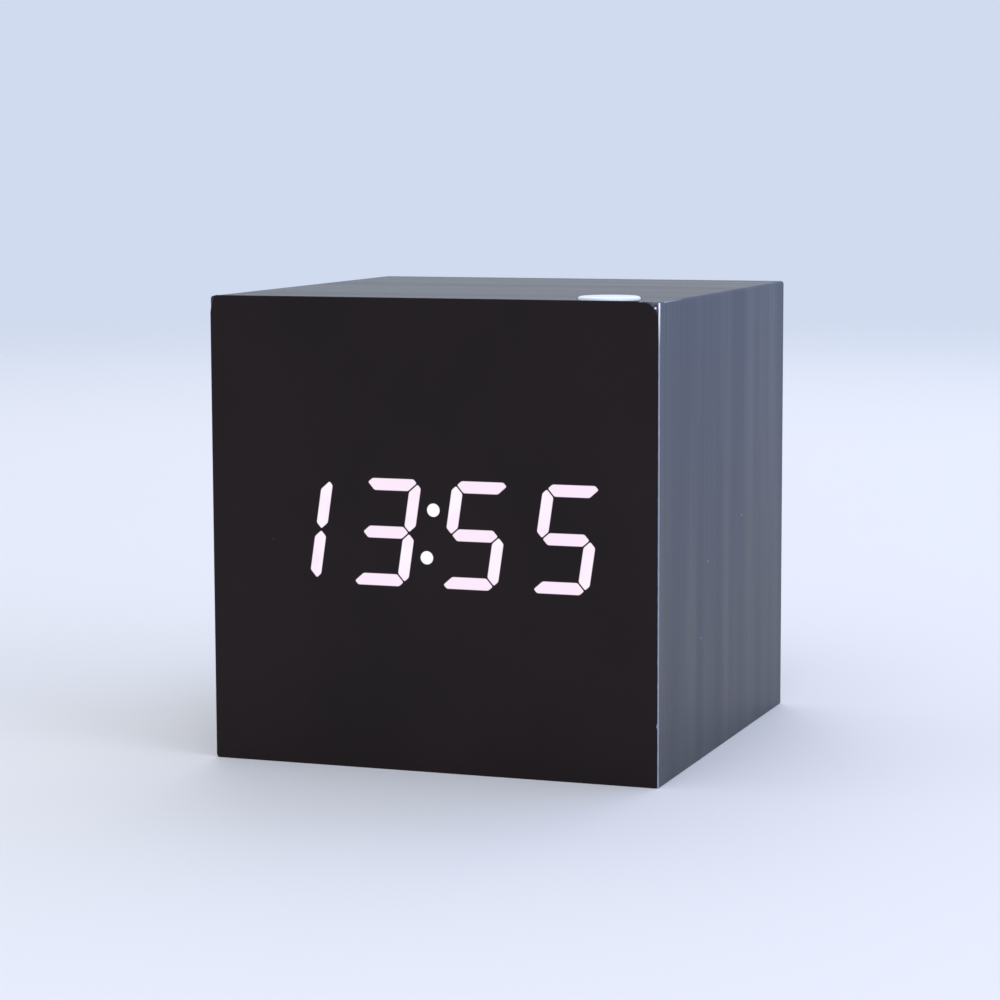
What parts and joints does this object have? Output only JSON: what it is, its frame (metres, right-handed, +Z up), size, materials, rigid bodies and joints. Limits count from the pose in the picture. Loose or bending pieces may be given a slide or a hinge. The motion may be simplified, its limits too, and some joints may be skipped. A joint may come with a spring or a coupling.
{
  "type": "digital desk clock",
  "caption": "Cube-shaped digital desk clock: black film-covered board case, white seven-segment time shown through the front, top button, rear keys and battery door.",
  "frame": {"origin": "centre of the underside, on the surface it stands on", "axes": "+Z up; the display faces -Y; +X to the right of someone who reads the time"},
  "size_m": [0.06, 0.06, 0.0604],
  "materials": {
    "smoked_film": "very dark smoked film, smooth, lets lit segments through",
    "grain_film": "black wood-grain decorative film, satin, fine straight grain",
    "fibreboard": "medium-density fibreboard dyed black, sawn and mitred",
    "black_moulding": "moulded, fine texture",
    "lit_diffuser": "milky resin, lit from behind",
    "unlit_diffuser": "milky resin, unlit",
    "circuit_board": "green solder mask",
    "led_package": "chip lamp with yellow phosphor",
    "chip_epoxy": "moulded epoxy",
    "zinc_steel": "zinc plated",
    "black_steel": "blackened steel",
    "white_button": "white moulded plastic, semi-gloss",
    "switch_body": "moulded",
    "connector_nylon": "natural nylon",
    "cable_pvc": "grey cable sheath",
    "metal_can": "drawn can",
    "capacitor_sleeve": "shrink sleeve",
    "black_button": "moulded, fine texture",
    "brass_pin": "turned",
    "black_abs": "moulded, spark-eroded texture",
    "cell_sleeve": "printed sleeve without print",
    "nickel_contact": "nickel-plated spring steel"
  },
  "bodies": {
    "case": {"front_film": "smoked_film", "wrap_film": "grain_film", "base_film": "grain_film", "rear_edge_film": "grain_film", "front_board": "fibreboard", "top_board": "fibreboard", "bottom_board": "fibreboard", "left_board": "fibreboard", "right_board": "fibreboard", "corner_blocks": "fibreboard", "reflector_block": "black_moulding", "lit_segments": "lit_diffuser", "colon_dots": "lit_diffuser", "unlit_segments": "unlit_diffuser", "display_board": "circuit_board", "display_leds": "led_package", "display_driver": "chip_epoxy", "display_screws": "zinc_steel", "top_switch": "switch_body", "ribbon_sockets": "connector_nylon", "ribbon_plugs": "connector_nylon", "link_ribbon": "cable_pvc", "main_board": "circuit_board", "main_board_screws": "zinc_steel", "control_chip": "chip_epoxy", "clock_crystal": "metal_can", "alarm_buzzer": "switch_body", "supply_capacitor": "capacitor_sleeve", "rear_switches": "switch_body", "power_socket": "switch_body", "socket_pin": "brass_pin", "rear_cover": "black_abs", "cover_screws": "black_steel", "battery_cells": "cell_sleeve", "plus_terminal": "nickel_contact", "minus_terminal": "nickel_contact", "bridge_contacts": "nickel_contact", "contact_springs": "nickel_contact"},
    "set_key": {"set_button": "black_button", "set_switch_plunger": "switch_body"},
    "up_key": {"up_button": "black_button", "up_switch_plunger": "switch_body"},
    "down_key": {"down_button": "black_button", "down_switch_plunger": "switch_body"},
    "top_key": {"top_button": "white_button", "top_switch_plunger": "switch_body"},
    "door": {"battery_door": "black_abs"}
  },
  "joints": [
    {"name": "set_press", "type": "slide", "parent": "case", "child": "set_key", "axis": [0, -1, 0], "range_m": [0, 0.0003], "stiffness_N_per_m": 3000},
    {"name": "up_press", "type": "slide", "parent": "case", "child": "up_key", "axis": [0, -1, 0], "range_m": [0, 0.0003], "stiffness_N_per_m": 3000},
    {"name": "down_press", "type": "slide", "parent": "case", "child": "down_key", "axis": [0, -1, 0], "range_m": [0, 0.0003], "stiffness_N_per_m": 3000},
    {"name": "top_press", "type": "slide", "parent": "case", "child": "top_key", "axis": [0, 0, -1], "range_m": [0, 0.0003], "stiffness_N_per_m": 3000},
    {"name": "door_hinge", "type": "hinge", "parent": "case", "child": "door", "pos_m": [0, 0.0283, 0.0108], "axis": [-1, 0, 0], "range_deg": [0, 60]}
  ]
}
